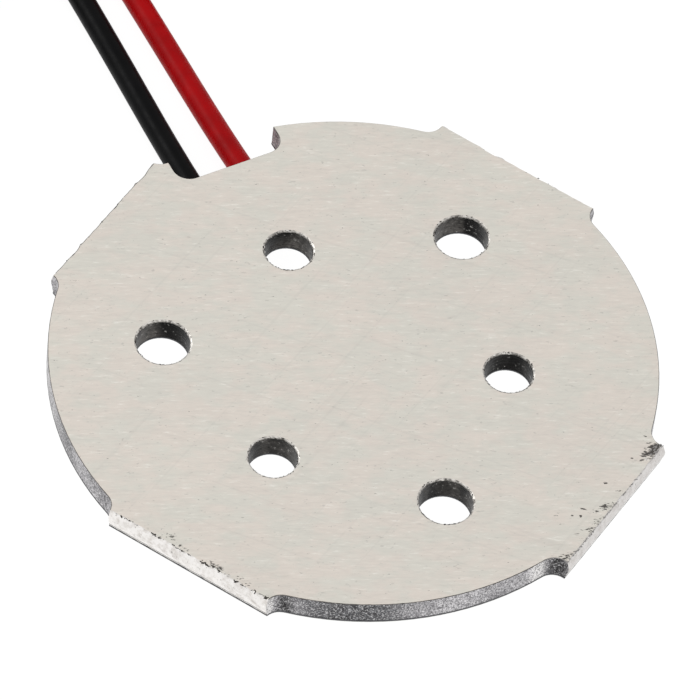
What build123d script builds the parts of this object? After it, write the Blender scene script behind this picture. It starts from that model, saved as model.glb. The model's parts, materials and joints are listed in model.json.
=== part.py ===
"""LED cluster board on an aluminium core, with a pair of supply leads.

The board lies component side down on its three LED domes, so its bare aluminium
face looks up. +Z is up. The origin is on the drilled hole pattern's axis, at the
height of the surface that the domes stand on. Millimetres throughout.
"""
from build123d import *
import math
import os

# Board outline, seen from above
BOARD_R = 17.5
OUTLINE_SHIFT = (-0.2, 0.0)  # the routed outline sits this far off the drilled holes
ROUTER_R = 1.0
# Scored tabs: direction, the score line's distance from the outline's centre, and how far
# round from the direction the router stopped at the clockwise and the other end
TABS = [
    (0, 17.70, 19.2, 19.3),
    (90, 17.50, 19.7, 19.7),
    (180, 17.23, 19.2, 19.7),
    (270, 17.26, 19.4, 20.5),
]
TAB_ROOT = 2.5  # how far a tab's block starts inside the disc
# V grooves on both faces, with a thin web between them that is snapped
SCORE_DEPTH = 0.55  # in the aluminium face
UNDER_SCORE_DEPTH = 0.9  # in the component side
SCORE_HALF_ANGLE = 15
SCORE_OVERRUN = 0.5  # past the longest tab's end
NOTCH_ANGLE = 150
NOTCH_FLOOR_R = 15.5
NOTCH_HALF_W = 3.4

# Drilled holes
SCREW_R = 1.55
SCREW_PCD = 22.2
SCREW_ANGLES = [90, 210, 330]
LOCATING_R = 1.4
LOCATING_PCD = 17.4
LOCATING_ANGLES = [30, 150, 270]
HOLE_BREAK = 0.08  # the drilled edges are broken at 45 degrees on the aluminium face

# Layers
BASE_T = 1.5
DIELECTRIC_T = 0.1
COPPER_T = 0.07
MASK_T = 0.03

# Copper artwork
COPPER_EDGE_CLEARANCE = 1.0
COPPER_NOTCH_CLEARANCE = 0.7
COPPER_HOLE_CLEARANCE = 0.5
COPPER_GAP = 0.5
MASK_OVERLAP = 0.05
MASK_HOLE_CLEARANCE = 0.15
CENTRE_CLEAR_R = 1.0
# Nets, as the sector of the board that each one fills
NETS = {"positive": (90, 150), "negative": (150, 210), "link_b": (210, 330), "link_a": (330, 450)}

# LEDs, in series round the board
LED_R = 5.5
LED_ANGLES = [90, 330, 210]
LED_SIDE = 3.2
TERMINAL_T = 0.05
SOLDER_T = 0.05
CERAMIC_T = 0.45
CERAMIC_CORNER = 0.12
FLANGE_T = 0.1
FLANGE_SIDE = 3.0
FLANGE_CORNER = 0.3
DOME_R = 1.25
DIE_SIDE = 1.4
DIE_T = 0.15
CONVERTER_SIDE = 1.5
CONVERTER_T = 0.1
CONVERTER_CORNER = 0.1
TERMINAL_L = 2.9
THERMAL_W = 1.0
ELECTRODE_W = 0.55
ELECTRODE_OFFSET = 1.175
ISLAND_W = 1.1
ISLAND_L = 5.0
ISLAND_GAP = 0.25

# Wire pads and joints
PAD_R = 12.6
PAD_OFFSET = 1.65
PAD_L = 3.2
PAD_W = 2.4
PAD_CORNER = 0.3
JOINT_L = 3.0
JOINT_W = 2.0
JOINT_H = 0.78
JOINT_TAPER = 28
JOINT_CORNER = 0.5
JOINT_CROWN_R = 0.2
JOINT_INSET = 0.1  # towards the board's middle from the pad
MARK_OFFSET = 4.2
MARK_L = 1.3
MARK_W = 0.3
MARK_T = 0.02

# Supply leads: stranded wire with a soft jacket
JACKET_D = 1.45
CONDUCTOR_D = 0.6
TIP_L = 5.0
COIL_TURNS = 3.5  # half of them on the floor, winding in, half on top, winding out
STRANDS_SEAT = 0.3  # how far the bare strands start inside the jacket
STRANDS_RISE = 0.9  # from the jacket's end to where they come level with the pad
STRANDS_REACH = 1.3  # past the pad's middle
STRANDS_CLEARANCE = 0.05  # off the pad, filled with solder
TIE_T = 0.25
TIE_W = 3.0
STUB_D = 1.0
STUB_L = 4.0

# Heights
COPPER_Z = DOME_R + FLANGE_T + CERAMIC_T + TERMINAL_T + SOLDER_T  # underside of the copper
LAMINATE_Z = COPPER_Z + COPPER_T  # underside of the dielectric
BASE_Z = LAMINATE_Z + DIELECTRIC_T
FACE_Z = BASE_Z + BASE_T
JACKET_R = JACKET_D / 2
LAYER_PITCH = JACKET_D

# A lead's route, as (distance out along the notch's direction, sideways, height).
# It leaves its pad under the board, drops to the floor and runs straight out to its coil,
# which lies to the given side.
LEADS = {
    "red": {
        "side": 1,
        "route": [
            (14.2, 1.45, 1.12),
            (17.4, 1.27, 0.78),
            (31.0, 1.42, JACKET_R),
            (39.4, 1.36, JACKET_R),
        ],
        "coil_r": 8.8,
    },
    "black": {
        "side": -1,
        "route": [
            (14.2, -1.95, 1.12),
            (17.4, -2.04, 0.78),
            (31.5, -1.52, JACKET_R),
            (43.9, -1.48, JACKET_R),
        ],
        "coil_r": 8.6,
    },
}
# The free end past the coil, as (back along the notch's direction, in towards the coil's
# centre, height)
TAIL = [
    (0, 0, 1.5 * JACKET_D),
    (2.6, 0.05, 1.5 * JACKET_D),
    (5.2, 0.12, 1.2),
    (7.0, 0.2, JACKET_R),
    (9.0, 0.4, JACKET_R),
]

os.makedirs("parts", exist_ok=True)


def polar(radius, angle):
    return radius * math.cos(math.radians(angle)), radius * math.sin(math.radians(angle))


def at_angle(radius, angle, shape):
    """The shape moved out along a direction, its own +X turned to point outwards."""
    return Rot(0, 0, angle) * Pos(radius, 0, 0) * shape


def notch_point(out, sideways, height):
    """A point given along and across the notch's direction."""
    along = polar(out, NOTCH_ANGLE)
    across = polar(sideways, NOTCH_ANGLE - 90)
    return Vector(along[0] + across[0], along[1] + across[1], height)


def slab(face, low, high):
    """A flat face drawn on the XY plane, as a solid between two heights."""
    return extrude(Pos(0, 0, low) * face, amount=high - low)


def save(node, shape):
    shape.label = node
    export_step(shape, f"parts/{node}.step")


# ---- Outline ----

def score_run(depth):
    """How far a groove's side leans out over its depth."""
    return depth * math.tan(math.radians(SCORE_HALF_ANGLE))


def tab(angle, distance, half_a, half_b):
    """Material between two router stops, out to the web between the score grooves.

    Also gives the strip just past it, which comes away when the tab is snapped off.
    """
    reach = distance + score_run(SCORE_DEPTH)
    inner = BOARD_R - TAB_ROOT
    low = -BOARD_R * math.sin(math.radians(half_a))
    high = BOARD_R * math.sin(math.radians(half_b))
    block = Pos((inner + reach) / 2, (low + high) / 2, 0) * Rectangle(reach - inner, high - low)
    for turn in (-half_a, half_b):
        block -= Pos(*polar(BOARD_R + ROUTER_R, turn), 0) * Circle(ROUTER_R)
    beyond = Pos(reach + TAB_ROOT / 2, 0, 0) * Rectangle(TAB_ROOT, high - low)
    return Rot(0, 0, angle) * block, Rot(0, 0, angle) * beyond


def notch(margin=0.0):
    """The routed wire notch, with every edge moved out by margin."""
    outer = BOARD_R + 4
    floor = NOTCH_FLOOR_R - margin
    width = 2 * (NOTCH_HALF_W + margin)
    shape = RectangleRounded(outer - floor, width, ROUTER_R)
    return at_angle((outer + floor) / 2, NOTCH_ANGLE, shape)


def board_outline():
    shape = Circle(BOARD_R)
    for angle, distance, half_a, half_b in TABS:
        kept, beyond = tab(angle, distance, half_a, half_b)
        shape = shape + kept - beyond
    shape -= notch()
    return Pos(*OUTLINE_SHIFT, 0) * shape


def drilled(shape, clearance=0.0):
    """A flat face with the screw and locating holes cut through it, each larger by the clearance."""
    for angle in SCREW_ANGLES:
        shape -= at_angle(SCREW_PCD / 2, angle, Circle(SCREW_R + clearance))
    for angle in LOCATING_ANGLES:
        shape -= at_angle(LOCATING_PCD / 2, angle, Circle(LOCATING_R + clearance))
    return shape


# ---- Board layers ----

def score_grooves():
    """The outer half of each V groove, on the aluminium face and on the component side."""
    run = score_run(SCORE_DEPTH)
    under_z = LAMINATE_Z - MASK_T
    lip = run - score_run(UNDER_SCORE_DEPTH)
    past = run + 1
    head, foot = FACE_Z - SCORE_DEPTH, under_z + UNDER_SCORE_DEPTH
    upper = [(0, FACE_Z), (run, head), (past, head), (past, FACE_Z + 1), (0, FACE_Z + 1)]
    lower = [(lip, under_z), (run, foot), (past, foot), (past, under_z - 1), (lip, under_z - 1)]
    longest = max(max(ends) for _, _, *ends in TABS)
    half_length = (BOARD_R + ROUTER_R) * math.sin(math.radians(longest)) + SCORE_OVERRUN
    grooves = []
    for angle, distance, _, _ in TABS:
        for corners in (upper, lower):
            section = make_face(Polyline(*corners, close=True))
            bar = extrude(Plane.XZ * section, amount=half_length, both=True)
            grooves.append(Pos(*OUTLINE_SHIFT, 0) * Rot(0, 0, angle) * Pos(distance, 0, 0) * bar)
    return grooves


def scored(solid):
    for groove in score_grooves():
        solid -= groove
    return solid


def hole_breaks():
    """Cones that break the edge of every drilled hole on the aluminium face."""
    past = HOLE_BREAK
    holes = [(SCREW_PCD / 2, angle, SCREW_R) for angle in SCREW_ANGLES]
    holes += [(LOCATING_PCD / 2, angle, LOCATING_R) for angle in LOCATING_ANGLES]
    height = HOLE_BREAK + 2 * past
    return [
        Pos(*polar(reach, angle), FACE_Z - HOLE_BREAK / 2) * Cone(r - past, r + HOLE_BREAK + past, height)
        for reach, angle, r in holes
    ]


def aluminium_base(outline):
    base = scored(slab(drilled(outline), BASE_Z, FACE_Z))
    for cone in hole_breaks():
        base -= cone
    return base


def dielectric(outline):
    return scored(slab(drilled(outline), LAMINATE_Z, BASE_Z))


def pour(grow=0.0):
    """The copper area before it is split into nets, with every edge moved out by grow."""
    shape = Circle(BOARD_R - COPPER_EDGE_CLEARANCE + grow)
    shape -= Circle(CENTRE_CLEAR_R - grow)
    shape -= Pos(*OUTLINE_SHIFT, 0) * notch(COPPER_NOTCH_CLEARANCE - grow)
    shape = drilled(shape, COPPER_HOLE_CLEARANCE - grow)
    for angle in LED_ANGLES:
        window = Rectangle(ISLAND_L + 2 * (ISLAND_GAP - grow), ISLAND_W + 2 * (ISLAND_GAP - grow))
        shape -= at_angle(LED_R, angle, window)
    for angle in {start % 360 for start, _ in NETS.values()}:
        shape -= at_angle(BOARD_R / 2, angle, Rectangle(BOARD_R + 2, COPPER_GAP - 2 * grow))
    return shape


def sector(start, end):
    middle = (start + end) / 2
    reach = 2 * BOARD_R
    corners = [(0, 0), polar(reach, start), polar(2 * reach, middle), polar(reach, end)]
    return make_face(Polyline(*corners, close=True))


def copper_nets():
    area = pour()
    return {name: slab(area & sector(*ends), COPPER_Z, LAMINATE_Z) for name, ends in NETS.items()}


def thermal_islands(grow=0.0):
    """One neutral copper island under the middle of each LED, as flat faces."""
    face = Rectangle(ISLAND_L + 2 * grow, ISLAND_W + 2 * grow)
    return [at_angle(LED_R, angle, face) for angle in LED_ANGLES]


def wire_pad(side):
    pad = RectangleRounded(PAD_L, PAD_W, PAD_CORNER)
    return at_angle(PAD_R, NOTCH_ANGLE, Pos(0, -side * PAD_OFFSET, 0) * pad)


def solder_mask(outline, copper):
    """White lacquer over the copper and the bare dielectric, open at every pad."""
    mask = slab(drilled(outline, MASK_HOLE_CLEARANCE), LAMINATE_Z - MASK_T, LAMINATE_Z)
    low = COPPER_Z - MASK_T
    mask += slab(pour(MASK_OVERLAP), low, LAMINATE_Z)
    for face in thermal_islands(MASK_OVERLAP):
        mask += slab(face, low, LAMINATE_Z)
    for solid in copper:
        mask -= solid
    openings = [wire_pad(side) for side in (1, -1)]
    for angle in LED_ANGLES:
        openings += [at_angle(LED_R, angle, face) for face in led_pads(MASK_OVERLAP)]
    for face in openings:
        mask -= slab(face, low - 1, LAMINATE_Z)
    return scored(mask)


def polarity_marks():
    """A printed plus beside the positive pad and a minus beside the negative one."""
    bar = Rectangle(MARK_W, MARK_L)
    cross = bar + Rectangle(MARK_L, MARK_W)
    high = COPPER_Z - MASK_T
    plus = at_angle(PAD_R, NOTCH_ANGLE, Pos(0, -MARK_OFFSET, 0) * cross)
    minus = at_angle(PAD_R, NOTCH_ANGLE, Pos(0, MARK_OFFSET, 0) * bar)
    return slab(plus, high - MARK_T, high) + slab(minus, high - MARK_T, high)


# ---- LEDs ----

def led_pads(grow=0.0):
    """The LED's three contacts seen flat: two electrodes with the thermal contact between them."""
    electrode = Rectangle(TERMINAL_L + 2 * grow, ELECTRODE_W + 2 * grow)
    thermal = Rectangle(TERMINAL_L + 2 * grow, THERMAL_W + 2 * grow)
    return [Pos(0, -ELECTRODE_OFFSET, 0) * electrode, thermal, Pos(0, ELECTRODE_OFFSET, 0) * electrode]


def led(angle):
    """One LED's pieces, from its solder up on the board to the dome's tip on the floor."""
    solder_z = COPPER_Z - SOLDER_T
    terminal_z = solder_z - TERMINAL_T
    ceramic_z = terminal_z - CERAMIC_T
    die_z = ceramic_z - DIE_T
    converter_z = die_z - CONVERTER_T
    solder = Compound([slab(face, solder_z, COPPER_Z) for face in led_pads()])
    terminals = Compound([slab(face, terminal_z, solder_z) for face in led_pads()])
    substrate = slab(RectangleRounded(LED_SIDE, LED_SIDE, CERAMIC_CORNER), ceramic_z, terminal_z)
    die = slab(Rectangle(DIE_SIDE, DIE_SIDE), die_z, ceramic_z)
    film = RectangleRounded(CONVERTER_SIDE, CONVERTER_SIDE, CONVERTER_CORNER)
    converter = slab(film, converter_z, die_z)
    flange = RectangleRounded(FLANGE_SIDE, FLANGE_SIDE, FLANGE_CORNER)
    dome = slab(flange, ceramic_z - FLANGE_T, ceramic_z)
    dome += Pos(0, 0, DOME_R) * Sphere(DOME_R)
    dome -= Pos(0, 0, ceramic_z + DOME_R) * Box(4 * DOME_R, 4 * DOME_R, 2 * DOME_R)
    dome = dome - die - converter
    pieces = {
        "solder": solder,
        "terminals": terminals,
        "substrate": substrate,
        "die": die,
        "converter": converter,
        "dome": dome,
    }
    return {name: at_angle(LED_R, angle, piece) for name, piece in pieces.items()}


# ---- Supply leads ----

def smooth_radii(points):
    """For each inner point, the largest arc that its two runs allow."""
    radii = []
    for before, here, after in zip(points, points[1:], points[2:]):
        run_in = here - before
        run_out = after - here
        half_turn = math.radians(run_in.get_angle(run_out)) / 2
        radii.append(0.45 * min(run_in.length, run_out.length) / math.tan(half_turn))
    return radii


def tube(points, diameter, name):
    """A round bar along straight runs joined by arcs."""
    radii = smooth_radii(points)
    path = FilletPolyline(*points, radius=radii)
    bar = sweep((path ^ 0) * Circle(diameter / 2), path=path)
    expected = math.pi * diameter**2 / 4 * path.length
    arcs = [round(r, 1) for r in radii]
    print(f"{name}: {path.length:.2f} long, arcs {arcs}, volume {bar.volume / expected:.4f}")
    return bar


def coil_centre(lead):
    out, sideways, _ = lead["route"][-1]
    return out, sideways + lead["side"] * lead["coil_r"]


def coil_inner_r(lead):
    """The innermost turn's radius. Each turn lies one jacket inside the turn before it."""
    return lead["coil_r"] - LAYER_PITCH * COIL_TURNS / 2


def coil_solid(lead, tied, inside):
    """The outer shape of the lead's turns, two layers high, lifted where the tie runs under them."""
    ring = Circle(lead["coil_r"] + JACKET_R) - Circle(coil_inner_r(lead) - JACKET_R)
    ring = Pos(*notch_point(*coil_centre(lead), 0)) * ring
    lifted = slab(ring, TIE_T, TIE_T + 2 * JACKET_D) & inside
    return slab(ring, 0, 2 * JACKET_D) - tied + lifted


def tail_points(lead):
    """The free end leaves the top turn on the coil's outer side and comes down to the floor."""
    out, sideways = coil_centre(lead)
    points = []
    for back, inward, height in TAIL:
        across = sideways + lead["side"] * (lead["coil_r"] - inward)
        points.append(notch_point(out - back, across, height))
    return points


def tip(points):
    """The stripped and tinned end, straight on from the lead's last run."""
    heading = (points[-1] - points[-2]).normalized()
    start = Plane(origin=points[-1], z_dir=heading)
    return extrude(start * Circle(CONDUCTOR_D / 2), amount=TIP_L)


def tie(lead):
    """A strip round the coil's far side, its two ends twisted together inside the coil.

    Gives the tie, the whole space it takes up, and the space inside it.
    """
    inner = coil_inner_r(lead) - JACKET_R
    outer = lead["coil_r"] + JACKET_R
    heart = Pos((inner + outer) / 2, TIE_T + JACKET_D)
    sizes = [(outer - inner + 2 * t, 2 * (JACKET_D + t)) for t in (TIE_T, 0)]
    place = Pos(*notch_point(*coil_centre(lead), 0)) * Rot(0, 0, NOTCH_ANGLE)
    tied, inside = [
        place * extrude(Plane.XZ * (heart * Rectangle(*size)), amount=TIE_W / 2, both=True)
        for size in sizes
    ]
    stub = Cylinder(STUB_D / 2, STUB_L, align=(Align.CENTER, Align.CENTER, Align.MIN))
    stub = Pos(inner - TIE_T, 0, TIE_T + JACKET_D) * Rot(0, -90, 0) * stub
    return tied - inside + place * stub, tied, inside


def conductor(start, jacket):
    """The bare strands at the board's end, from inside the jacket up to the pad and along it."""
    out, sideways, height = start
    on_pad = math.copysign(PAD_OFFSET, sideways)
    pad_z = COPPER_Z - STRANDS_CLEARANCE - CONDUCTOR_D / 2
    route = [
        notch_point(out + STRANDS_SEAT, sideways, height - 0.1),
        notch_point(out - STRANDS_RISE, (sideways + on_pad) / 2, pad_z - 0.03),
        notch_point(PAD_R - STRANDS_REACH, on_pad, pad_z),
    ]
    return tube(route, CONDUCTOR_D, "conductor") - jacket


def solder_joint(side, strands):
    """A fillet of solder over the pad, round the bare strands."""
    foot = Pos(0, -side * PAD_OFFSET, 0) * RectangleRounded(JOINT_L, JOINT_W, JOINT_CORNER)
    base = at_angle(PAD_R - JOINT_INSET, NOTCH_ANGLE, foot)
    lump = extrude(Pos(0, 0, COPPER_Z) * base, amount=-JOINT_H, taper=JOINT_TAPER)
    lump = fillet(lump.edges().group_by(Axis.Z)[0], JOINT_CROWN_R)
    return lump - strands


# ---- Build and write every piece ----

def write_board():
    outline = board_outline()
    nets = copper_nets()
    islands = Compound([slab(face, COPPER_Z, LAMINATE_Z) for face in thermal_islands()])
    save("aluminium_base", aluminium_base(outline))
    save("dielectric_layer", dielectric(outline))
    for name, net in nets.items():
        save(f"copper_{name}", net)
    save("copper_thermal_pads", islands)
    save("solder_mask", solder_mask(outline, [*nets.values(), islands]))
    save("polarity_marks", polarity_marks())


def write_leds():
    for number, angle in enumerate(LED_ANGLES, start=1):
        for name, piece in led(angle).items():
            save(f"led_{number}_{name}", piece)


def write_leads():
    for colour, lead in LEADS.items():
        points = [notch_point(*place) for place in lead["route"]]
        run = tube(points, JACKET_D, f"{colour} lead")
        strip, tied, inside = tie(lead)
        tail = tail_points(lead)
        strands = conductor(lead["route"][0], run)
        save(f"{colour}_lead", run)
        save(f"{colour}_lead_coil", coil_solid(lead, tied, inside))
        save(f"{colour}_lead_tail", tube(tail, JACKET_D, f"{colour} tail"))
        save(f"{colour}_lead_tip", tip(tail))
        save(f"{colour}_lead_tie", strip)
        save(f"{colour}_lead_strands", strands)
        save(f"{colour}_solder_joint", solder_joint(lead["side"], strands))


write_board()
write_leds()
write_leads()
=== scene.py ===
"""Looks for the aluminium-core LED cluster board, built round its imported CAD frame."""

import json
import math
import random

import bmesh
import bpy
from mathutils import Matrix, Vector, noise


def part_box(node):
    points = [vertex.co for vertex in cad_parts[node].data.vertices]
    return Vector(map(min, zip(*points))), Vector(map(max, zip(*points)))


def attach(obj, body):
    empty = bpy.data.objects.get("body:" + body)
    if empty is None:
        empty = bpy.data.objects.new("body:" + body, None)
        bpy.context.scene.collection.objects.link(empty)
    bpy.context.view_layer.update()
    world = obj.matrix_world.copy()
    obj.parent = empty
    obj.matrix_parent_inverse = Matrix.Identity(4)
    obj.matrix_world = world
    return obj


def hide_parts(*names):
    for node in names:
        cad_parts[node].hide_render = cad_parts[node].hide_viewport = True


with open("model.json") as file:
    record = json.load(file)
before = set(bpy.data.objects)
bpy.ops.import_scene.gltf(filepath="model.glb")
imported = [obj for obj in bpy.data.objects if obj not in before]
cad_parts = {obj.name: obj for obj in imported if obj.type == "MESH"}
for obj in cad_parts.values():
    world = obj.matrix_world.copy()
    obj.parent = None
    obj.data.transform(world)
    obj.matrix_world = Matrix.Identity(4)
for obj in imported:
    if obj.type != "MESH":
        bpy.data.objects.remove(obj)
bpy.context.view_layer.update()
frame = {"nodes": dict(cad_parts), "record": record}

MM = 0.001
NODES = frame["nodes"]
MOUNTS = {m["name"]: m for m in frame["record"]["mounts"]}
FACE_Z = MOUNTS["heat_sink_face"]["pos_m"][2]

# Camera: a long lens from the front right, high up, rolled a little
VIEW_AZIMUTH = 27.8
VIEW_ELEVATION = 51.7
VIEW_ROLL = 6.73
VIEW_DISTANCE = 475.4 * MM
VIEW_ACROSS = -0.405 * MM  # the view's centre from the hole pattern's centre, along the picture
VIEW_UP = 0.526 * MM
SENSOR = 36.0
LENS = 428.4

# Supply leads. A route's points are those of the CAD: out along the notch, sideways, and height, in
# mm. The coil turns off to the route's side, and coil_r is its outermost turn's radius in mm.
NOTCH_ANGLE = 150
JACKET_D = 1.45 * MM
JACKET_R = JACKET_D / 2
LEADS = {
    "red": {
        "side": 1,
        "route": [(14.2, 1.45, 1.12), (17.4, 1.27, 0.78), (31.0, 1.42, 0.725), (39.4, 1.36, 0.725)],
        "coil_r": 8.8,
    },
    "black": {
        "side": -1,
        "route": [(14.2, -1.95, 1.12), (17.4, -2.04, 0.78), (31.5, -1.52, 0.725), (43.9, -1.48, 0.725)],
        "coil_r": 8.6,
    },
}
COIL_TURNS = 3.5
COIL_STEPS = 24  # points for each turn
COIL_CLIMB = 0.5  # radians before and after halfway, in which the wire climbs to the upper layer
# The free end: back along the notch's direction, in towards the coil's centre, and height, in mm
TAIL = [(0, 0, 2.175), (2.6, 0.05, 2.175), (5.2, 0.12, 1.2), (7.0, 0.2, 0.725), (9.0, 0.4, 0.725)]

# The stripped end of each lead: twisted strands round a middle one
TIP_L = 5.0 * MM
TIP_D = 0.6 * MM
TIP_IN_JACKET = 0.5 * MM
TIP_SHORT = 0.05 * MM  # how far the strands stop short of the CAD's solid end
TIP_STEPS = 48
STRANDS = 6
STRAND_LAY = 4.5 * MM  # length of one turn of the twist
STRAND_NEST = 0.96  # how closely the strands sit, as a share of two strand radii
ROUND_SIDES = 8  # of a strand, and of a tie's tail

# The ties. Each is a strip with its two ends twisted together in the coil's middle
TIE_AT = 0.25  # turns from the coil's start
TIE_T = 0.25 * MM
TIE_W = 3.0 * MM
TIE_OFF, TIE_ON = 0.6, 0.25  # radians from the tie where the wire starts to rise, and where it is up
# Across the strip: place from edge to edge, and share of the full thickness. A wire rib runs
# between two thin wings
TIE_PROFILE = [(-1, 0.5), (-0.24, 0.5), (-0.12, 1), (0.12, 1), (0.24, 0.5), (1, 0.5)]
TIE_CRINKLE = 0.03 * MM
TIE_CORNERS = 24  # points round each wire that the strip hugs
TWIST_TURNS = 1.9
TWIST_LENGTH = 3.8 * MM
TWIST_HEIGHT = 1.7 * MM
TWIST_THIN = 0.09 * MM  # half of a tail's thickness
TWIST_STEPS = 36

# Board
OUTLINE_X = -0.2 * MM  # the routed outline's centre, from the drilled holes' axis
HOLES_WITHIN = 14 * MM  # of the axis: drilled walls are nearer, routed ones farther out
HOLE_BREAK = 0.08 * MM  # the CAD's broken edge round each hole
FIRST_HOLE = {"screw_holes": 90, "locating_holes": 30}  # direction, in degrees
TAB_REACH = 17.1 * MM  # every tab's snapped face is farther out than this
WEB_AREA = 1e-6  # square metres: the snapped faces are larger
ROLLED_WAY = math.radians(36)  # direction of the sheet's rolling marks
EDGE_BREAK = 0.035 * MM
CHIP = 0.045 * MM  # how far the snapped edges wander
CHIP_STEP = 0.22 * MM
CHIPPED_FROM = 2 * MM  # shorter edges stay straight
LEVEL = 0.01 * MM  # less of a rise than this counts as none
FLAT_LEAN = 0.99  # a normal's height, above which a face counts as level
SLOPED_LEAN = 0.1  # and above which an upright one counts as sloped
SQUARE_LEAN = 0.9999  # a normal's share along X or Y, above which a face is square to it
RIM_LEAN = 0.3  # a normal's height, above which the broken edge of a routed wall gets a painted dark line of shade
LEDS = (1, 2, 3)
DOME_OVERLAP = 0.01 * MM

# Stage and light
FLOOR_REACH = 8.0
FLOOR_GLOW = 0.93
SKY_AT_HORIZON = 0.64
SKY_OVERHEAD = 0.87


# ---- Small helpers ----

def polar(radius, angle):
    return Vector((radius * math.cos(math.radians(angle)), radius * math.sin(math.radians(angle)), 0))


def notch_point(out, sideways, height):
    """A point in metres from millimetres given along and across the notch's direction."""
    flat = polar(out * MM, NOTCH_ANGLE) + polar(sideways * MM, NOTCH_ANGLE - 90)
    return Vector((flat.x, flat.y, height * MM))


UP = Vector((0, 0, 1))
ALONG_NOTCH = polar(1, NOTCH_ANGLE)
ACROSS_NOTCH = polar(1, NOTCH_ANGLE - 90)


def smooth(edge_a, edge_b, value):
    """0 at edge_a and 1 at edge_b, eased between them and held beyond."""
    t = min(max((value - edge_a) / (edge_b - edge_a), 0.0), 1.0)
    return t * t * (3 - 2 * t)


def piece(name, data):
    """A new object that rides on the board."""
    obj = bpy.data.objects.new(name, data)
    bpy.context.scene.collection.objects.link(obj)
    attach(obj, "root")
    return obj


# ---- Camera ----

def view_axes():
    """The picture's right, its up, and the way back to the camera, as unit vectors."""
    a, e, r = (math.radians(x) for x in (VIEW_AZIMUTH, VIEW_ELEVATION, VIEW_ROLL))
    back = Vector((math.sin(a) * math.cos(e), -math.cos(a) * math.cos(e), math.sin(e)))
    right = Vector((math.cos(a), math.sin(a), 0))
    up = back.cross(right)
    return math.cos(r) * right + math.sin(r) * up, math.cos(r) * up - math.sin(r) * right, back


def make_camera():
    """Looks at the middle of the bare face, a little off its centre."""
    right, up, back = view_axes()
    data = bpy.data.cameras.new("camera")
    data.sensor_width = SENSOR
    data.lens = LENS
    data.clip_start = 0.01
    data.clip_end = 20
    obj = bpy.data.objects.new("camera", data)
    bpy.context.scene.collection.objects.link(obj)
    place = Vector((0, 0, FACE_Z)) + VIEW_DISTANCE * back + VIEW_ACROSS * right + VIEW_UP * up
    obj.matrix_world = Matrix.Translation(place) @ Matrix((right, up, back)).transposed().to_4x4()
    bpy.context.scene.camera = obj


# ---- Node materials ----

class Shader:
    """A node material. add() makes a node whose inputs are values, colours or other nodes' outputs."""

    def __init__(self, name):
        self.material = bpy.data.materials.new(name)
        self.material.use_nodes = True
        self.nodes = self.material.node_tree.nodes
        self.links = self.material.node_tree.links
        self.surface = self.nodes["Principled BSDF"]

    def add(self, kind, inputs, output=0, **settings):
        made = self.nodes.new(f"ShaderNode{kind}")
        for key, value in settings.items():
            setattr(made, key, value)
        self.fill(made, inputs)
        return made.outputs[output]

    def fill(self, made, inputs):
        for key, value in inputs.items():
            if isinstance(value, bpy.types.NodeSocket):
                self.links.new(value, made.inputs[key])
            else:
                made.inputs[key].default_value = value

    def set(self, **inputs):
        self.fill(self.surface, {key.replace("_", " "): value for key, value in inputs.items()})

    def place(self, scale=(1, 1, 1), turn=0.0):
        """Object coordinates in millimetres, turned about Z and then scaled."""
        here = self.add("TexCoord", {}, "Object")
        inputs = {"Vector": here, "Rotation": (0, 0, -turn), "Scale": (1 / MM, 1 / MM, 1 / MM)}
        turned = self.add("Mapping", inputs)
        return self.add("Mapping", {"Vector": turned, "Scale": scale})

    def noise(self, vector, scale, detail=3.0, rough=0.55):
        inputs = {"Vector": vector, "Scale": scale, "Detail": detail, "Roughness": rough}
        return self.add("TexNoise", inputs, "Fac")

    def math(self, operation, *values):
        made = self.nodes.new("ShaderNodeMath")
        made.operation = operation
        self.fill(made, dict(enumerate(values)))
        return made.outputs[0]

    def ramp(self, value, low, high, low_to=0.0, high_to=1.0):
        """value taken from low..high to low_to..high_to, and held at the ends."""
        inputs = {"Value": value, "From Min": low, "From Max": high, "To Min": low_to, "To Max": high_to}
        return self.add("MapRange", inputs, "Result", clamp=True)

    def mix(self, factor, a, b):
        made = self.nodes.new("ShaderNodeMix")
        made.data_type = "RGBA"
        made.clamp_result = True
        self.fill(made, {0: factor, 6: a, 7: b})
        return made.outputs[2]

    def blob(self, x, y, long, wide, turn=0.0):
        """1 inside an ellipse on the board's plan, falling to 0 at its edge. Millimetres and degrees."""
        here = self.add("TexCoord", {}, "Object")
        inputs = {"Vector": here, "Location": (x * MM, y * MM, 0), "Rotation": (0, 0, math.radians(turn))}
        inputs["Scale"] = (long * MM, wide * MM, 1)
        inside = self.add("Mapping", inputs, vector_type="TEXTURE")
        out = self.add("VectorMath", {0: inside}, "Value", operation="LENGTH")
        return self.ramp(out, 0.25, 1.0, 1.0, 0.0)

    def bump(self, height, strength, distance):
        """distance is in millimetres."""
        normal = self.add("Bump", {"Height": height, "Strength": strength, "Distance": distance * MM})
        self.set(Normal=normal)


def rgb(red, green, blue):
    """A colour given as 0-255 display values, made linear."""
    def linear(x):
        x /= 255
        return x / 12.92 if x <= 0.04045 else ((x + 0.055) / 1.055) ** 2.4
    return linear(red), linear(green), linear(blue), 1.0


def plain_material(name, colour, rough, metal=0.0, grain=0.0, grain_scale=3.0, **extra):
    """A material with a little uneven colour and a fine bump."""
    s = Shader(name)
    where = s.place()
    patch = s.noise(where, grain_scale, 4.0)
    dark = tuple(c * (1 - grain) for c in colour[:3]) + (1.0,)
    s.set(Base_Color=s.mix(s.ramp(patch, 0.35, 0.65), dark, colour), Metallic=metal, **extra)
    s.set(Roughness=s.ramp(patch, 0.3, 0.7, rough * 0.85, min(1.0, rough * 1.15)))
    s.bump(s.noise(where, grain_scale * 6, 3.0), 0.3, 0.01)
    return s.material


# ---- The board's materials ----

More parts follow.
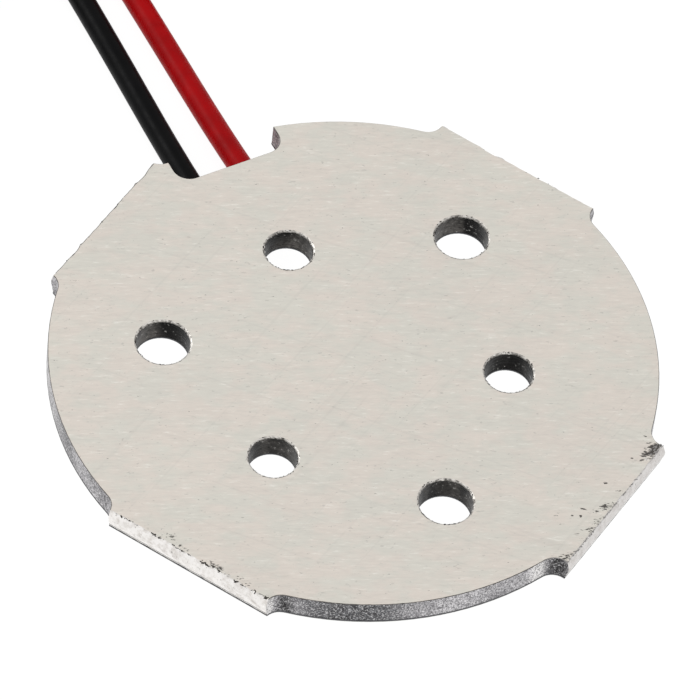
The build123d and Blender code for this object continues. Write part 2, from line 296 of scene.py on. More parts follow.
def scratches(s, turn, seed):
    """A few long, straight hairline scratches in one direction, as a mask."""
    where = s.add("Mapping", {"Vector": s.place((0.08, 5.0, 1), turn), "Location": (seed, seed, 0)})
    return s.ramp(s.noise(where, 1.0, 0.0), 0.72, 0.80)


# Dark marks left by tools beside the snapped tabs, on the board's plan: x, y, half length,
# half width, direction, and how solid
SMUDGES = [
    (17.2, 4.4, 1.2, 0.6, 66, 1.15),
    (17.3, 4.8, 0.7, 0.5, 60, 2.0),
    (17.0, 3.5, 0.3, 0.12, 50, 1.2),
    (16.7, 4.8, 0.45, 0.09, 45, 1.2),
    (16.3, 5.1, 0.2, 0.1, 30, 1.1),
    (16.5, 3.3, 0.18, 0.09, 30, 1.0),
    (16.2, 0.9, 0.2, 0.12, 30, 1.2),
    (17.1, 0.9, 0.25, 0.12, 30, 0.9),
    (17.2, -0.5, 1.2, 0.4, 60, 0.82),
    (16.8, -1.1, 0.5, 0.15, 10, 0.85),
    (16.2, -1.4, 0.5, 0.09, 18, 1.3),
    (16.3, -1.9, 0.14, 0.14, 0, 1.2),
    (15.9, -2.2, 0.22, 0.14, 30, 0.9),
    (15.2, -2.7, 0.22, 0.14, 30, 0.8),
    (16.8, -3.1, 0.32, 0.07, 43, 1.1),
    (16.9, -2.7, 0.2, 0.08, 10, 1.0),
    (17.3, -2.2, 2.0, 0.4, 90, 0.62),
    (17.1, -5.2, 1.1, 0.5, 70, 1.05),
    (-1.7, -16.8, 0.9, 0.4, 15, 0.55),
    (-0.6, -17.0, 0.9, 0.2, 0, 0.55),
    (1.8, -17.0, 1.0, 0.35, 0, 0.85),
    (3.4, -16.9, 1.4, 0.3, 0, 0.5),
    (5.6, -17.0, 0.9, 0.35, 10, 0.7),
]


def stained(s, marks, texture, strength):
    """A mask of the marks, broken up by the texture."""
    total = None
    for x, y, long, wide, turn, solid in marks:
        here = s.math("MULTIPLY", s.blob(x, y, long, wide, turn), strength * solid)
        total = here if total is None else s.math("MAXIMUM", total, here)
    return s.math("ADD", texture, total)


def rolled_face(name):
    """Mill-finish sheet: fine short marks along the rolling direction, faint stains and scratches."""
    s = Shader(name)
    fine = s.noise(s.place((1.2, 7.5, 1), ROLLED_WAY), 1.0, 5.0, 0.7)
    speck = s.noise(s.place((2.6, 6.5, 1), ROLLED_WAY), 1.0, 2.0, 0.5)
    broad = s.noise(s.place(), 0.16, 4.0, 0.6)
    tint = s.noise(s.place((1, 1.8, 1), ROLLED_WAY), 0.45, 3.0, 0.6)
    colour = s.mix(s.ramp(tint, 0.4, 0.6), rgb(229, 226, 217), rgb(234, 226, 217))
    colour = s.mix(s.ramp(broad, 0.35, 0.7, 0.0, 0.10), colour, rgb(205, 201, 195))
    colour = s.mix(s.ramp(fine, 0.30, 0.52, 0.16, 0.0), colour, rgb(170, 167, 160))
    colour = s.mix(s.ramp(fine, 0.58, 0.72, 0.0, 0.6), colour, rgb(254, 252, 246))
    colour = s.mix(s.ramp(speck, 0.68, 0.73, 0.0, 0.25), colour, rgb(150, 148, 144))
    for turn, seed in ((ROLLED_WAY + math.radians(52), 3.7), (ROLLED_WAY - math.radians(24), 8.1)):
        colour = s.mix(s.math("MULTIPLY", scratches(s, turn, seed), 0.06), colour, rgb(165, 163, 160))
    streaks = s.noise(s.place((3.5, 9.0, 1), ROLLED_WAY), 1.0, 4.0, 0.65)
    marked = s.ramp(stained(s, SMUDGES, streaks, 0.28), 0.68, 0.76, 0.0, 0.9)
    colour = s.mix(marked, colour, rgb(50, 47, 46))
    s.set(Base_Color=colour, Metallic=1.0, Roughness=s.ramp(fine, 0.3, 0.7, 0.42, 0.56))
    s.bump(s.math("ADD", fine, s.math("MULTIPLY", speck, 0.5)), 0.18, 0.012)
    return s.material


# Stretches of the routed edge painted dark as shade, on the board's plan, as for SMUDGES
SHADED_RIM_STRETCHES = [
    (9.5, -14.9, 5.0, 3.0, 32, 1.2),
    (-10.5, -13.8, 3.5, 3.0, -40, 0.6),
    (-13.0, 7.5, 4.0, 4.0, 0, 0.6),
]
# Hollows beside two nibs, painted near black as shade, and those nibs' bright torn ends, as for SMUDGES
SHADED_HOLLOWS = [(6.0, -16.6, 0.75, 0.6, 30, 1.0), (17.0, -5.4, 0.9, 0.7, 30, 1.15)]
TORN_NIBS = [(5.2, -17.2, 0.55, 0.5, 60, 1.3), (16.2, -6.1, 0.9, 0.6, 60, 0.8)]


def routed_wall(name):
    """A milled edge: mottled grey, with fine lines round it, and stretches and hollows painted dark as
    shade.
    """
    s = Shader(name)
    patch = s.noise(s.place(), 0.5, 4.0, 0.6)
    mottle = s.noise(s.place((1, 1, 0.7)), 4.5, 4.0, 0.7)
    grit = s.noise(s.place(), 11.0, 2.0, 0.6)
    lines = s.noise(s.place((1.2, 1.2, 22)), 1.0, 4.0, 0.6)
    colour = s.mix(s.ramp(patch, 0.35, 0.62), rgb(156, 154, 157), rgb(210, 208, 210))
    colour = s.mix(s.ramp(mottle, 0.36, 0.5, 0.8, 0.0), colour, rgb(84, 82, 86))
    colour = s.mix(s.ramp(mottle, 0.6, 0.68, 0.0, 0.5), colour, rgb(232, 232, 234))
    colour = s.mix(s.ramp(lines, 0.3, 0.5, 0.35, 0.0), colour, rgb(110, 108, 112))
    # Painted shade: some stretches of the routed edge are darkened
    rim_shade_tone = s.mix(s.ramp(mottle, 0.42, 0.62), rgb(24, 23, 24), rgb(122, 123, 126))
    rim_shade_mask = s.ramp(stained(s, SHADED_RIM_STRETCHES, mottle, 0.35), 0.6, 0.85, 0.0, 0.95)
    colour = s.mix(rim_shade_mask, colour, rim_shade_tone)
    torn = s.ramp(stained(s, TORN_NIBS, mottle, 0.5), 0.62, 0.9, 0.0, 0.8)
    colour = s.mix(torn, colour, rgb(236, 234, 232))
    # Painted shade: the hollows beside two nibs, near black
    hollow_shade_mask = s.ramp(stained(s, SHADED_HOLLOWS, mottle, 0.5), 0.6, 0.98, 0.0, 1.0)
    colour = s.mix(hollow_shade_mask, colour, rgb(13, 12, 12))
    colour = s.mix(s.ramp(grit, 0.40, 0.50, 0.7, 0.0), colour, rgb(70, 68, 70))
    colour = s.mix(s.ramp(grit, 0.54, 0.64, 0.0, 0.5), colour, rgb(246, 244, 244))
    s.set(Base_Color=colour, Metallic=1.0, Roughness=s.ramp(patch, 0.3, 0.7, 0.5, 0.36))
    s.bump(s.math("ADD", s.math("MULTIPLY", mottle, 0.6), lines), 0.5, 0.03)
    return s.material


# Tabs whose torn faces are painted darker as shade, on the board's plan, as for SMUDGES
SHADED_TABS = [(17.6, 0.0, 8.0, 2.5, 90, 1.0)]


def scored_metal(name, light, dark, lines=()):
    """A cut or torn face, in two tones. Each line is a span of heights in mm that is dark and broken."""
    s = Shader(name)
    grain = s.noise(s.place((2.5, 2.5, 2.5)), 1.0, 5.0, 0.65)
    fleck = s.noise(s.place((6, 6, 6)), 1.0, 2.0, 0.5)
    colour = s.mix(s.ramp(grain, 0.35, 0.55), dark, light)
    # Painted shade: the torn faces of the tab that faces +X are darkened
    tab_shade_mask = s.ramp(stained(s, SHADED_TABS, 0.0, 1.0), 0.0, 0.5, 0.0, 0.55)
    colour = s.mix(tab_shade_mask, colour, rgb(196, 193, 191))
    colour = s.mix(s.ramp(fleck, 0.66, 0.72, 0.0, 0.5), colour, rgb(120, 116, 112))
    height = s.add("SeparateXYZ", {0: s.place()}, "Z")
    for low, high in lines:
        above, below = s.math("GREATER_THAN", height, low), s.math("LESS_THAN", height, high)
        inside = s.math("MULTIPLY", above, below)
        worn = s.ramp(grain, 0.38, 0.5, 0.55, 1.0)
        colour = s.mix(s.math("MULTIPLY", inside, worn), colour, rgb(44, 42, 42))
    s.set(Base_Color=colour, Metallic=1.0, Roughness=s.ramp(grain, 0.3, 0.7, 0.5, 0.4))
    s.bump(grain, 0.4, 0.03)
    return s.material


def shaded_hole_wall(name):
    """Drilled metal: matt, painted dark as the shade inside a hole, and mottled, with painted glints and
    rings left by the drill's feed.
    """
    s = Shader(name)
    rings = s.noise(s.place((0.5, 0.5, 14)), 1.0, 4.0, 0.6)
    broad = s.noise(s.place((1, 1, 0.3)), 0.55, 2.0, 0.5)
    mottle = s.noise(s.place(), 4.0, 4.0, 0.7)
    # Painted shade: the wall's colour and its dark mottle stand for the shade inside the hole
    colour = s.mix(s.ramp(broad, 0.45, 0.65), rgb(7, 6, 5), rgb(86, 83, 80))
    colour = s.mix(s.ramp(mottle, 0.35, 0.52, 0.75, 0.0), colour, rgb(14, 13, 12))
    # Painted glints: small bright flecks
    colour = s.mix(s.ramp(mottle, 0.60, 0.70, 0.0, 0.7), colour, rgb(190, 188, 184))
    colour = s.mix(s.ramp(rings, 0.35, 0.55, 0.5, 0.0), colour, rgb(18, 17, 16))
    s.set(Base_Color=colour, Metallic=1.0, Roughness=s.ramp(rings, 0.3, 0.7, 0.3, 0.5))
    s.bump(rings, 0.6, 0.03)
    return s.material


# ---- Sweeps, for the ties and the bare wire ends ----

def skin(rings, closed_path=False):
    """A mesh through rings of equally many points, capped at both ends unless the path is closed."""
    bm = bmesh.new()
    loops = [[bm.verts.new(p) for p in ring] for ring in rings]
    pairs = list(zip(loops, loops[1:]))
    if closed_path:
        pairs.append((loops[-1], loops[0]))
    for a, b in pairs:
        for i in range(len(a)):
            j = (i + 1) % len(a)
            bm.faces.new((a[i], a[j], b[j], b[i]))
    if not closed_path:
        bm.faces.new(reversed(loops[0]))
        bm.faces.new(loops[-1])
    bmesh.ops.recalc_face_normals(bm, faces=bm.faces)
    return bm


def finish_mesh(name, bm, sharp_angle=35.0):
    """A mesh with smooth faces, and hard edges at sharp bends and where the material changes."""
    for face in bm.faces:
        face.smooth = True
    for edge in bm.edges:
        one_finish = len({face.material_index for face in edge.link_faces}) == 1
        edge.smooth = one_finish and edge.calc_face_angle(0) < math.radians(sharp_angle)
    mesh = bpy.data.meshes.new(name)
    bm.to_mesh(mesh)
    bm.free()
    if "custom_normal" in mesh.attributes:
        mesh.attributes.remove(mesh.attributes["custom_normal"])
    return mesh


def merge(target, source):
    """Adds source's geometry to target and frees source."""
    mesh = bpy.data.meshes.new("merge")
    source.to_mesh(mesh)
    source.free()
    target.from_mesh(mesh)
    bpy.data.meshes.remove(mesh)


def round_ring(middle, half_a, half_b):
    """Points round an ellipse, from its middle and its two half axes."""
    turns = [math.tau * k / ROUND_SIDES for k in range(ROUND_SIDES)]
    return [middle + math.cos(turn) * half_a + math.sin(turn) * half_b for turn in turns]


def stranded_wire(start, end):
    """Twisted strands round a middle one, on a straight line, as one bmesh."""
    strand_r = TIP_D / 6
    along = (end - start).normalized()
    across = along.cross(UP).normalized()
    over = across.cross(along)
    total = bmesh.new()
    for strand in range(STRANDS + 1):
        off = 0 if strand == STRANDS else 2 * strand_r * STRAND_NEST
        rings = []
        for step in range(TIP_STEPS + 1):
            share = step / TIP_STEPS
            turn = math.tau * (strand / STRANDS + share * (end - start).length / STRAND_LAY)
            middle = start.lerp(end, share) + off * (math.cos(turn) * across + math.sin(turn) * over)
            rings.append(round_ring(middle, strand_r * across, strand_r * over))
        merge(total, skin(rings))
    return total


# ---- The supply leads ----

def coil_centre(lead):
    """On the floor, to the side of the route's last point."""
    out, sideways, _ = lead["route"][-1]
    return notch_point(out, sideways + lead["side"] * lead["coil_r"], 0)


def lead_points(lead):
    """The route, the coil's turns in two layers with the tie under them, and the tail."""
    coil_r = lead["coil_r"] * MM
    side_way = lead["side"] * ACROSS_NOTCH
    centre = coil_centre(lead)
    half = math.pi * COIL_TURNS
    points = [notch_point(*p) for p in lead["route"]]
    for i in range(1, round(COIL_TURNS * COIL_STEPS)):
        turn = math.tau * i / COIL_STEPS
        r = coil_r - JACKET_D * (half - abs(half - turn)) / math.tau
        climb = JACKET_D * smooth(half - COIL_CLIMB, half + COIL_CLIMB, turn)
        from_tie = abs(math.remainder(turn - math.tau * TIE_AT, math.tau))
        over_tie = TIE_T * smooth(TIE_OFF, TIE_ON, from_tie)
        flat = centre + r * (math.sin(turn) * ALONG_NOTCH - math.cos(turn) * side_way)
        points.append(Vector((flat.x, flat.y, JACKET_R + climb + over_tie)))
    for back, inward, height in TAIL:
        flat = centre + (coil_r - inward * MM) * side_way - back * MM * ALONG_NOTCH
        points.append(Vector((flat.x, flat.y, height * MM)))
    return points


def lead_curve(name, points, jacket):
    """A round jacket along the points."""
    data = bpy.data.curves.new(name, "CURVE")
    data.dimensions = "3D"
    spline = data.splines.new("NURBS")
    spline.points.add(len(points) - 1)
    for control, point in zip(spline.points, points):
        control.co = (*point, 1)
    spline.order_u = 3
    spline.use_endpoint_u = True
    data.resolution_u = 6
    data.bevel_depth = JACKET_R
    data.bevel_resolution = 6
    data.use_fill_caps = True
    data.materials.append(jacket)
    return data


def bend(a, b, c):
    """Above 0 where the way from a through b to c turns left, and 0 where it is straight."""
    return (b[0] - a[0]) * (c[1] - a[1]) - (b[1] - a[1]) * (c[0] - a[0])


def hull(circles):
    """The convex outline round some circles, as points in order."""
    dots = []
    for x, y, r in circles:
        for k in range(TIE_CORNERS):
            a = math.tau * k / TIE_CORNERS
            dots.append((x + r * math.cos(a), y + r * math.sin(a)))
    dots.sort()
    straight = 1e-14  # square metres, for three points nearly in line
    chains = []
    for run in (dots, dots[::-1]):
        chain = []
        for p in run:
            while len(chain) > 1 and bend(chain[-2], chain[-1], p) <= straight:
                chain.pop()
            chain.append(p)
        chains.append(chain[:-1])
    return chains[0] + chains[1]


def tie_outline(lead):
    """The strip's middle line round the turns it crosses: out from the coil's centre, and height."""
    half = COIL_TURNS / 2
    wires = []
    for k in range(math.ceil(COIL_TURNS)):
        passed = k + TIE_AT
        r = lead["coil_r"] * MM - JACKET_D * (half - abs(half - passed))
        layer = JACKET_D if passed > half else 0
        wires.append((r, TIE_T + JACKET_R + layer, JACKET_R + TIE_T / 2))
    return hull(wires)


def strip_rings(centre, outline):
    """Rings across the strip, all the way round its outline."""
    middle = Vector((sum(p[0] for p in outline), sum(p[1] for p in outline))) / len(outline)
    rings = []
    for i, (x, z) in enumerate(outline):
        before, after = Vector(outline[i - 1]), Vector(outline[(i + 1) % len(outline)])
        along = (after - before).normalized()
        off = Vector((along.y, -along.x))
        if off.dot(Vector((x, z)) - middle) < 0:
            off.negate()
        ring = []
        for sign, order in ((1, TIE_PROFILE), (-1, TIE_PROFILE[::-1])):
            for place, thick in order:
                flat = Vector((x, z)) + sign * off * thick * TIE_T / 2
                crinkle = TIE_CRINKLE * math.sin(9 * i + 4 * place) if abs(place) == 1 else 0
                sideways = place * TIE_W / 2 + crinkle
                ring.append(centre + flat.x * ALONG_NOTCH + flat.y * UP + sideways * ACROSS_NOTCH)
        rings.append(ring)
    return rings


def twisted_tail(root, first_turn):
    """Rings along one flat tail, wound round the other and spread from it at the tip."""
    rings = []
    for k in range(TWIST_STEPS + 1):
        t = k / TWIST_STEPS
        turn = first_turn + TWIST_TURNS * math.tau * t
        # Half the way between the two tails, and half of a tail's width
        apart = (0.14 + 0.084 * smooth(0.8, 1, t)) * MM
        wide = (0.26 + 0.06 * t) * MM
        spoke = math.cos(turn) * ACROSS_NOTCH + math.sin(turn) * UP
        rim = -math.sin(turn) * ACROSS_NOTCH + math.cos(turn) * UP
        heart = root - TWIST_LENGTH * t * ALONG_NOTCH + apart * spoke
        rings.append(round_ring(heart, TWIST_THIN * spoke, wide * rim))
    return rings


def tie_mesh(name, lead):
    """A thin ribbed strip hugging the turns, with its ends twisted together in the coil's middle."""
    centre = coil_centre(lead)
    outline = tie_outline(lead)
    total = skin(strip_rings(centre, outline), closed_path=True)
    root = centre + min(p[0] for p in outline) * ALONG_NOTCH + TWIST_HEIGHT * UP
    for first_turn in (0, math.pi):
        merge(total, skin(twisted_tail(root, first_turn)))
    return finish_mesh(name, total)


def tip_mesh(name, points):
    """The bare strands past a lead's last point."""
    heading = (points[-1] - points[-2]).normalized()
    start = points[-1] - TIP_IN_JACKET * heading
    end = points[-1] + (TIP_L - TIP_SHORT) * heading
    return finish_mesh(name, stranded_wire(start, end), sharp_angle=60)


def make_leads():
    """Each lead as one curve, with its bare strands and its tie."""
    tinned = tinned_material()
    tie_coat = plain_material("tie_coat", rgb(226, 226, 222), 0.45, grain=0.06, grain_scale=2.0)
    for colour, lead in LEADS.items():
        jacket = jacket_material(colour)
        points = lead_points(lead)
        curve = lead_curve(f"{colour}_supply_lead", points, jacket)
        wire = piece(f"{colour}_supply_lead", curve)
        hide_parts(f"{colour}_lead", f"{colour}_lead_coil", f"{colour}_lead_tail")
        mesh = tip_mesh(f"{colour}_stripped_end", points)
        mesh.materials.append(tinned)
        tip = piece(f"{colour}_stripped_end", mesh)
        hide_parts(f"{colour}_lead_tip")
        mesh = tie_mesh(f"{colour}_twist_tie", lead)
        mesh.materials.append(tie_coat)
        tie = piece(f"{colour}_twist_tie", mesh)
        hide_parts(f"{colour}_lead_tie")


def jacket_material(colour):
    tones = {
        "red": (rgb(166, 0, 5), rgb(148, 0, 4), 0.08),
        "black": (rgb(10, 10, 11), rgb(5, 5, 6), 0.07),
    }
    light, dark, gloss = tones[colour]
    s = Shader(f"{colour}_pvc")
    where = s.place()
    s.set(Base_Color=s.mix(s.ramp(s.noise(where, 0.6), 0.35, 0.65), dark, light))
    s.set(Roughness=s.ramp(s.noise(where, 2.5), 0.35, 0.65, 0.36, 0.48), Specular_IOR_Level=gloss)
    s.bump(s.noise(where, 5.0, 2.0), 0.25, 0.012)
    return s.material


def tinned_material():
    return plain_material("tinned_strands", rgb(205, 203, 198), 0.32, metal=1.0, grain=0.25,
                          grain_scale=4.0)


# ---- Stage and lights ----

def make_stage():
    """A plain floor, bright enough to come out white."""
    corners = [(x * FLOOR_REACH, y * FLOOR_REACH, 0) for x, y in ((-1, -1), (1, -1), (1, 1), (-1, 1))]
    mesh = bpy.data.meshes.new("floor")
    mesh.from_pydata(corners, [], [(0, 1, 2, 3)])
    floor = bpy.data.objects.new("floor", mesh)
    bpy.context.scene.collection.objects.link(floor)
    s = Shader("white_sweep")
    patch = s.noise(s.place(), 0.002)
    s.set(Base_Color=s.mix(patch, (0.11, 0.11, 0.11, 1), (0.12, 0.12, 0.12, 1)), Roughness=0.9)
    s.set(Emission_Color=(1, 1, 1, 1), Emission_Strength=FLOOR_GLOW, Specular_IOR_Level=0.0)
    mesh.materials.append(s.material)


def area_light(name, place, size, watts):
    """A soft box aimed at the origin."""
    data = bpy.data.lights.new(name, "AREA")
    data.shape = "RECTANGLE"
    data.size, data.size_y = size
    data.energy = watts
    obj = bpy.data.objects.new(name, data)
    bpy.context.scene.collection.objects.link(obj)
    obj.location = place
    obj.rotation_euler = Vector(place).normalized().to_track_quat("Z", "Y").to_euler()


def make_lights():
    """A white sky, brighter overhead, and two soft boxes."""
    world = bpy.data.worlds.new("studio")
    bpy.context.scene.world = world
    world.use_nodes = True
    nodes, links = world.node_tree.nodes, world.node_tree.links
    split = nodes.new("ShaderNodeSeparateXYZ")
    links.new(nodes.new("ShaderNodeTexCoord").outputs["Generated"], split.inputs[0])
    shade = nodes.new("ShaderNodeMapRange")
    links.new(split.outputs["Z"], shade.inputs["Value"])
    shade.inputs["To Min"].default_value = SKY_AT_HORIZON
    shade.inputs["To Max"].default_value = SKY_OVERHEAD
    links.new(shade.outputs[0], nodes["Background"].inputs["Strength"])
    nodes["Background"].inputs["Color"].default_value = (1, 1, 1, 1)
    area_light("top_left", (-0.75, 0.0, 0.42), (0.3, 0.5), 2.2)
    area_light("front_right", (0.45, -0.5, 0.35), (0.4, 0.3), 0.4)
    bpy.context.scene.view_settings.view_transform = "Standard"


# ---- The aluminium base ----

# The finishes, in the order of the plate's material slots
FACE, UNDERSIDE, ROUTED, GROOVE, WEB, DRILLED, BROKEN, RIM_SHADE_LINE = range(8)


def plate_part(face):
    """Which finish a face of the aluminium base has, from where it is and how it leans."""
    n, c = face.normal, face.calc_center_median()
    if n.z > FLAT_LEAN:
        return FACE
    if n.z < -FLAT_LEAN:
        return UNDERSIDE
    if Vector((c.x, c.y)).length < HOLES_WITHIN:
        return BROKEN if n.z > SLOPED_LEAN else DRILLED
    if abs(n.z) > SLOPED_LEAN:
        return GROOVE
    reach = max(abs(c.x - OUTLINE_X), abs(c.y))
    square = max(abs(n.x), abs(n.y)) > SQUARE_LEAN
    return WEB if square and reach > TAB_REACH and face.calc_area() > WEB_AREA else ROUTED


def chip_edges(bm, layer):
    """The scored and snapped edges are divided and wander a little, as brittle torn ones do."""
    torn = [e for e in bm.edges if {f[layer] for f in e.link_faces} & {GROOVE + 1, WEB + 1}
            and abs(e.verts[0].co.z - e.verts[1].co.z) < LEVEL and e.calc_length() > CHIPPED_FROM]
    for edge in torn:
        groove = any(f[layer] == GROOVE + 1 for f in edge.link_faces)
        away = Vector((0, 0, 0))
        for f in edge.link_faces:
            if f[layer] in (GROOVE + 1, WEB + 1):
                away = Vector((f.normal.x, f.normal.y, 0)).normalized()
        top = edge.verts[0].co.z > FACE_Z - LEVEL
        groove_foot = groove and not top
        cuts = int(edge.calc_length() / CHIP_STEP)
        made = bmesh.ops.subdivide_edges(bm, edges=[edge], cuts=cuts)
        for v in (g for g in made["geom_inner"] if isinstance(g, bmesh.types.BMVert)):
            p = v.co / MM
            ripple = noise.noise(p * 2.3) + 0.7 * noise.noise(p * 7.1 + Vector((5, 5, 5)))
            bite = max(0.0, noise.noise(p * 1.4 + Vector((9, 2, 4))) - 0.12) * 3.0
            if groove_foot:
                v.co.z += 1.6 * CHIP * ripple
            else:
                v.co -= away * CHIP * (max(0.0, 0.5 + 0.5 * ripple) + (bite if top else 0.4 * bite))


def cad_plate():
    """The CAD base as few flat faces, and the layer that holds one more than each face's finish."""
    bm = bmesh.new()
    bm.from_mesh(NODES["aluminium_base"].data)
    bmesh.ops.remove_doubles(bm, verts=bm.verts, dist=0.001 * MM)
    bmesh.ops.dissolve_limit(bm, angle_limit=math.radians(0.5), verts=bm.verts, edges=bm.edges)
    bm.normal_update()
    layer = bm.faces.layers.int.new("part")
    for face in bm.faces:
        face[layer] = plate_part(face) + 1
    return bm, layer


def plate_materials():
    """One for each finish, in the order of their numbers."""
    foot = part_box("aluminium_base")[0][2] / MM
    under_lines = ((foot - 0.1, foot + 0.14), (foot + 0.22, foot + 0.29))
    return (
        rolled_face("rolled_face"),
        plain_material("rolled_underside", rgb(205, 203, 198), 0.5, metal=1.0, grain=0.15),
        routed_wall("routed_wall"),
        scored_metal("score_groove", rgb(243, 240, 237), rgb(218, 213, 208), under_lines),
        scored_metal("snapped_web", rgb(243, 240, 237), rgb(206, 201, 196)),
        shaded_hole_wall("drilled_wall_shaded"),
        scored_metal("broken_edge", rgb(226, 222, 216), rgb(112, 108, 104)),
        # Painted shade: a dark line along the routed wall's upper broken edge
        scored_metal("rim_shade_line", rgb(120, 116, 113), rgb(30, 28, 27)),
    )


def base_plate():
    """The CAD base with broken edges, torn score lines, and a finish for each kind of face."""
    bm, layer = cad_plate()
    chip_edges(bm, layer)
    bm.normal_update()
    sharp = [e for e in bm.edges if e.is_manifold and e.calc_face_angle(0) > math.radians(30)]
    made = bmesh.ops.bevel(bm, geom=sharp, offset=EDGE_BREAK, segments=1, affect="EDGES",
                           clamp_overlap=True)
    for face in made["faces"]:
        beside = {f[layer] for e in face.edges for f in e.link_faces if f is not face}
        beside -= {0, FACE + 1, UNDERSIDE + 1}
        face[layer] = max(beside) if beside else ROUTED + 1
        # The routed wall's upper broken edge takes the painted shade line
        if face[layer] == ROUTED + 1 and face.normal.z > RIM_LEAN:
            face[layer] = RIM_SHADE_LINE + 1
    bmesh.ops.triangulate(bm, faces=[f for f in bm.faces if len(f.verts) > 4])
    for face in bm.faces:
        face.material_index = max(0, face[layer] - 1)
    mesh = finish_mesh("base_plate", bm, sharp_angle=17)
    for material in plate_materials():
        mesh.materials.append(material)
    plate = piece("aluminium_plate", mesh)
    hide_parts("aluminium_base")


# ---- Burrs and chips along the snapped tabs ----

# Tab direction, the stretch of its top edge (0 to 1, anticlockwise), how many, the longest half
# length and the spread across in mm, and the share of them that is dark
CHIPS = [
    (270, 0.07, 0.13, 6, 0.16, 0.04, 0.8),
    (270, 0.14, 0.20, 3, 0.12, 0.03, 0.8),
    (270, 0.26, 0.34, 12, 0.18, 0.05, 0.8),
    (270, 0.38, 0.52, 14, 0.18, 0.04, 0.8),
    (270, 0.57, 0.66, 18, 0.24, 0.06, 0.9),
    (270, 0.66, 0.75, 16, 0.20, 0.10, 0.5),
    (270, 0.78, 0.80, 8, 0.20, 0.04, 1.0),
    (270, 0.83, 0.86, 9, 0.20, 0.04, 1.0),
    (270, 0.89, 1.00, 24, 0.18, 0.08, 0.6),
    (0, 0.0, 0.10, 18, 0.16, 0.12, 0.9),
    (0, 0.10, 0.32, 34, 0.18, 0.025, 0.9),
    (0, 0.32, 0.50, 22, 0.18, 0.04, 0.9),
    (0, 0.50, 0.80, 18, 0.16, 0.02, 0.8),
    (0, 0.86, 1.00, 46, 0.16, 0.22, 0.9),
    (90, 0.0, 1.0, 10, 0.10, 0.05, 0.6),
    (180, 0.0, 1.0, 10, 0.10, 0.05, 0.6),
]
CHIP_SEED = 17
TAB_CHIP_T = 0.022 * MM
RIM_CHIPS = 90  # round each hole
RIM_CHIP_T = 0.015 * MM
RIM_CHIP_DARK = 0.65  # share of them


def top_score_edges():
    """Each tab's top edge, by its direction, as its two ends anticlockwise."""
    bm, layer = cad_plate()
    found = {}
    for edge in bm.edges:
        if {face[layer] for face in edge.link_faces} == {FACE + 1, GROOVE + 1}:
            a, b = (v.co.copy() for v in edge.verts)
            if a.cross(b).z < 0:
                a, b = b, a
            middle = (a + b) / 2
            way = round(math.degrees(math.atan2(middle.y, middle.x)) / 90) % 4 * 90
            found[way] = (a, b)
    bm.free()
    return found


def chip(bm, place, along, across, long, thick, dark, rng):
    """A jagged flake, lying along an edge."""
    made = bmesh.ops.create_icosphere(bm, subdivisions=1, radius=1)
    up = along.cross(across)
    wide = long * rng.uniform(0.25, 0.5)
    slant = rng.uniform(-0.5, 0.5)
    for v in made["verts"]:
        x, y, z = v.co * rng.uniform(0.65, 1.0)
        v.co = place + along * x * long + across * (y + slant * x) * wide + up * z * thick
    for face in {f for v in made["verts"] for f in v.link_faces}:
        face.material_index = int(dark)


def hole_rims():
    """The centre and wall radius of every drilled hole, in metres."""
    for name, first in FIRST_HOLE.items():
        dims = MOUNTS[name]["dims"]
        for k in range(dims["count"]):
            way = first + 360 * k / dims["count"]
            yield polar(dims["pcd_mm"] / 2 * MM, way), dims["hole_r_mm"] * MM


def tab_chips(bm, rng):
    """Flakes along the tabs' top edges and a little way in from them."""
    edges = top_score_edges()
    for way, start, end, count, long, spread, dark_share in CHIPS:
        a, b = edges[way]
        along = (b - a).normalized()
        outward = along.cross(UP)
        for _ in range(count):
            place = a.lerp(b, rng.uniform(start, end)) - outward * MM * abs(rng.gauss(0, spread))
            size = long * (0.25 + 0.75 * rng.random() ** 2) * MM
            thick = TAB_CHIP_T * rng.uniform(0.6, 1.0)
            turn = Matrix.Rotation(rng.gauss(0, 0.5), 3, "Z")
            dark = rng.random() < dark_share
            chip(bm, place, turn @ along, turn @ -outward, size, thick, dark, rng)


def rim_chips(bm, rng):
    """Flakes on the broken edge round each hole."""
    for centre, radius in hole_rims():
        for _ in range(RIM_CHIPS):
            spoke = polar(1, rng.uniform(0, 360))
            over = HOLE_BREAK * rng.uniform(-0.1, 1.3)
            low = max(0, HOLE_BREAK - over)
            place = centre + (radius + over) * spoke + (FACE_Z - low) * UP
            size = rng.uniform(0.03, 0.11) * MM
            turn = Matrix.Rotation(rng.gauss(0, 0.3), 3, "Z")
            dark = rng.random() < RIM_CHIP_DARK
            chip(bm, place, turn @ UP.cross(spoke), turn @ spoke, size, RIM_CHIP_T, dark, rng)


def burr_crumbs():
    """All the flakes as one piece, bright and dark."""
    rng = random.Random(CHIP_SEED)
    bm = bmesh.new()
    tab_chips(bm, rng)
    rim_chips(bm, rng)
    mesh = finish_mesh("snapped_edge_chips", bm, sharp_angle=30)
    mesh.materials.append(scored_metal("bright_chip", rgb(250, 248, 244), rgb(190, 186, 182)))
    mesh.materials.append(scored_metal("dark_chip", rgb(70, 66, 62), rgb(30, 28, 27)))
    piece("snapped_edge_chips", mesh)


# ---- The laminate and components on the underside ----

def dress(material, *names):
    """Gives carried-over CAD nodes their finish."""
    for name in names:
        node = NODES[name]
        node.data.materials.clear()
        node.data.materials.append(material)


def press_into_dome(name):
    """Lets a piece's faces stand a hair inside the clear silicone that is cast against them."""
    swell = NODES[name].modifiers.new("press_into_dome", "DISPLACE")
    swell.strength, swell.mid_level = DOME_OVERLAP, 0.0


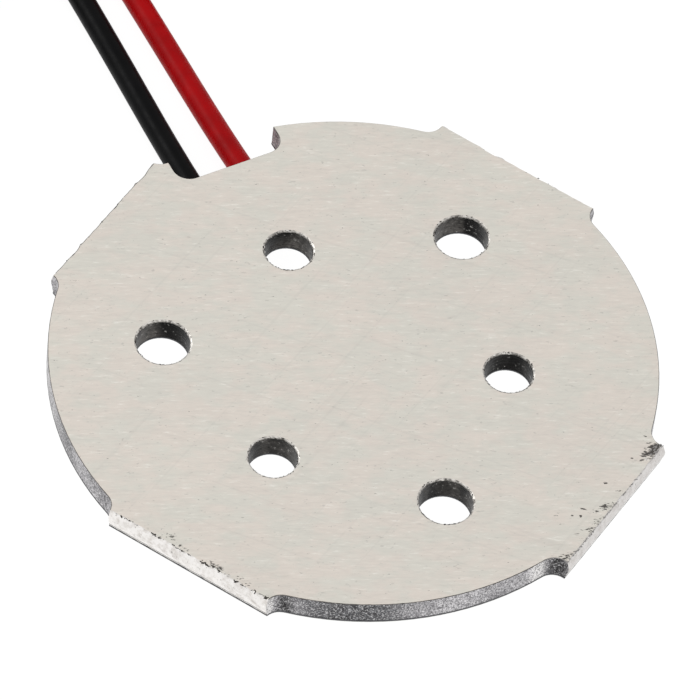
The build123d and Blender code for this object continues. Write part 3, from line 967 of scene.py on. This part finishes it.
def make_underside():
    """Finishes for the CAD's own laminate, tracks, joints and LEDs."""
    mask = plain_material("white_lacquer", rgb(238, 238, 234), 0.28, grain=0.03, grain_scale=0.8,
                          Coat_Weight=0.3)
    dress(mask, "solder_mask")
    film = plain_material("filled_epoxy", rgb(84, 84, 88), 0.6, grain=0.3, grain_scale=2.5)
    dress(film, "dielectric_layer")
    copper = plain_material("copper_foil", rgb(214, 132, 92), 0.32, metal=1.0, grain=0.12,
                            grain_scale=1.2)
    dress(copper, *(name for name in NODES if name.startswith("copper_")))
    ink = plain_material("black_ink", rgb(28, 28, 30), 0.5, grain=0.3, grain_scale=4.0)
    dress(ink, "polarity_marks")
    solder = plain_material("reflowed_solder", rgb(200, 200, 200), 0.22, metal=1.0, grain=0.18,
                            grain_scale=1.6)
    gold = plain_material("plated_contact", rgb(232, 200, 130), 0.28, metal=1.0, grain=0.1)
    ceramic = plain_material("white_ceramic", rgb(226, 226, 222), 0.55, grain=0.05, grain_scale=5.0)
    die = plain_material("die_sapphire", rgb(90, 92, 110), 0.2, grain=0.2)
    phosphor = plain_material("phosphor_film", rgb(240, 208, 60), 0.6, grain=0.12, grain_scale=6.0)
    for number in LEDS:
        dress(solder, f"led_{number}_solder")
        dress(gold, f"led_{number}_terminals")
        dress(ceramic, f"led_{number}_substrate")
        dress(die, f"led_{number}_die")
        dress(phosphor, f"led_{number}_converter")
        for part in ("substrate", "die", "converter"):
            press_into_dome(f"led_{number}_{part}")
    dress(solder, "red_solder_joint", "black_solder_joint")
    dress(tinned_material(), "red_lead_strands", "black_lead_strands")
    dress(silicone_material(), *(f"led_{number}_dome" for number in LEDS))


def silicone_material():
    """A clear skin, so that the die under it shows."""
    s = Shader("clear_silicone")
    haze = s.noise(s.place(), 1.2, 2.0)
    s.set(Base_Color=(1, 1, 1, 1), Alpha=0.22, IOR=1.41, Specular_IOR_Level=1.0)
    s.set(Roughness=s.ramp(haze, 0.3, 0.7, 0.02, 0.05))
    return s.material


make_camera()
make_stage()
make_lights()
make_leads()
base_plate()
make_underside()
burr_crumbs()
